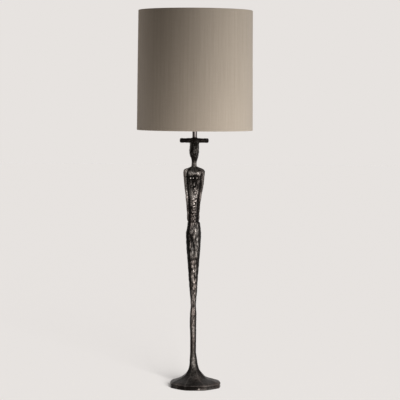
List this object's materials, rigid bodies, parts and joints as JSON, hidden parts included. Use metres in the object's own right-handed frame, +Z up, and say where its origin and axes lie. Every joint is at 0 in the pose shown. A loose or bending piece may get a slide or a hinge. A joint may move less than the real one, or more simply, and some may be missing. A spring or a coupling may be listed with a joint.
{
  "type": "figural table lamp",
  "caption": "Tall table lamp: a slender cast standing figure with arms at its sides on a flared eight-sided foot, a crosspiece over the head and a drum shade.",
  "frame": {"origin": "centre of the underside, on the axis of the core tube and the shade", "axes": "+Z up along the core tube, -Y towards the viewer of the picture (the figure's front), +X to the picture's right along the crosspiece"},
  "size_m": [0.305, 0.305, 0.9956],
  "materials": {
    "bronze": "hand-worked casting, dark brown-black patina",
    "zinc_steel": "bright zinc plate",
    "felt": "black wool felt",
    "cast_iron": "black painted casting",
    "black_nylon": "moulded, fine grain",
    "white_nylon": "moulded, translucent white",
    "brass": "satin lacquered",
    "dark_nickel": "polished dark nickel",
    "ceramic": "glazed porcelain",
    "bulb_nickel": "nickel plated",
    "black_glass": "black vitrite",
    "bulb_glass": "clear",
    "filament": "phosphor coated",
    "linen": "plain woven taupe linen with a soft sheen",
    "lining": "white styrene lining",
    "white_wire": "white powder coat",
    "brown_lead": "brown insulation",
    "blue_lead": "blue insulation",
    "green_lead": "green and yellow insulation"
  },
  "bodies": {
    "lamp": {"foot_casting": "bronze", "legs_casting": "bronze", "torso_casting": "bronze", "head_casting": "bronze", "crossbar": "bronze", "base_plate": "zinc_steel", "base_plate_screws": "zinc_steel", "tube_washer": "zinc_steel", "tube_nut": "zinc_steel", "core_tube": "zinc_steel", "felt_pad": "felt", "ballast_ring": "cast_iron", "inlet_bush": "black_nylon", "terminal_block": "white_nylon", "terminal_block_screws": "brass", "riser_tube": "dark_nickel", "reducer_bush": "brass", "holder_lock_nut": "brass", "holder_cap": "brass", "holder_body": "brass", "ceramic_insert": "ceramic", "holder_terminal_screws": "brass", "screw_shell": "brass", "centre_contact": "brass", "live_wire": "brown_lead", "neutral_wire": "blue_lead", "earth_wire": "green_lead"},
    "shade": {"shade_cloth": "linen", "shade_top_hem": "linen", "shade_bottom_hem": "linen", "shade_backing": "lining", "shade_top_wire": "white_wire", "shade_bottom_wire": "white_wire", "fitter_arms": "white_wire", "fitter_ring": "white_wire"},
    "shade_ring": {"shade_ring": "brass"},
    "bulb": {"bulb_cap": "bulb_nickel", "bulb_insulator": "black_glass", "bulb_contact": "bulb_nickel", "bulb_glass": "bulb_glass", "bulb_stem": "bulb_glass", "bulb_filaments": "filament"},
    "switch_bar": {"switch_bar": "black_nylon"}
  },
  "joints": [
    {"name": "shade_turn", "type": "hinge", "parent": "lamp", "child": "shade", "pos_m": [0, 0, 0.735], "axis": [0, 0, 1], "continuous": true},
    {"name": "ring_turn", "type": "hinge", "parent": "lamp", "child": "shade_ring", "pos_m": [0, 0, 0.74], "axis": [0, 0, 1], "continuous": true},
    {"name": "bulb_turn", "type": "hinge", "parent": "lamp", "child": "bulb", "pos_m": [0, 0, 0.75], "axis": [0, 0, 1], "continuous": true},
    {"name": "switch_push", "type": "slide", "parent": "lamp", "child": "switch_bar", "axis": [1, 0, 0], "range_m": [0, 0.006]}
  ]
}
